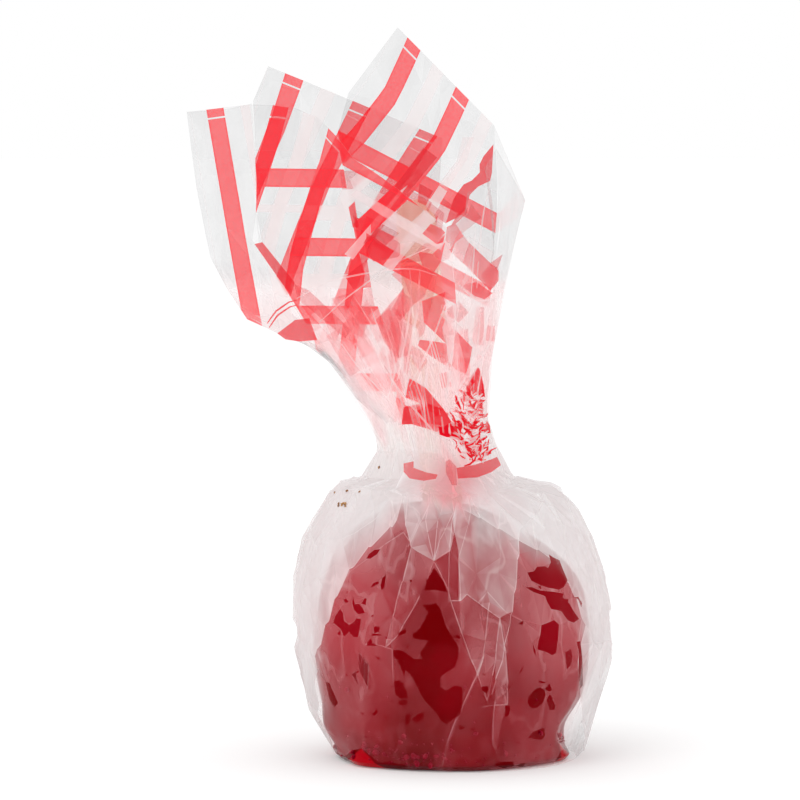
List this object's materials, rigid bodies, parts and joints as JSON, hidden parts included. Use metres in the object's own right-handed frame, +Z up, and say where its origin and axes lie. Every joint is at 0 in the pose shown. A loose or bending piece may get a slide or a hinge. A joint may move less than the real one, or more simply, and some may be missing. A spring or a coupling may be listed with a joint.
{
  "type": "toffee apple",
  "caption": "Toffee apple on a flat wooden stick, in a clear striped bag taped at the neck and fanned out above.",
  "frame": {"origin": "middle of the flat foot that the filled bag stands on", "axes": "+Z up along the apple's core, -Y to the front, +X to the right as seen from the front"},
  "size_m": [0.1092, 0.0952, 0.1849],
  "materials": {
    "film": "clear crinkled film with translucent stripes",
    "candy": "glossy boiled sugar coat",
    "birch": "bare sanded birch",
    "tape": "clear adhesive tape"
  },
  "bodies": {
    "root": {"filled_bag": "film", "lolly_stick": "birch", "neck_tape": "tape"}
  },
  "joints": []
}
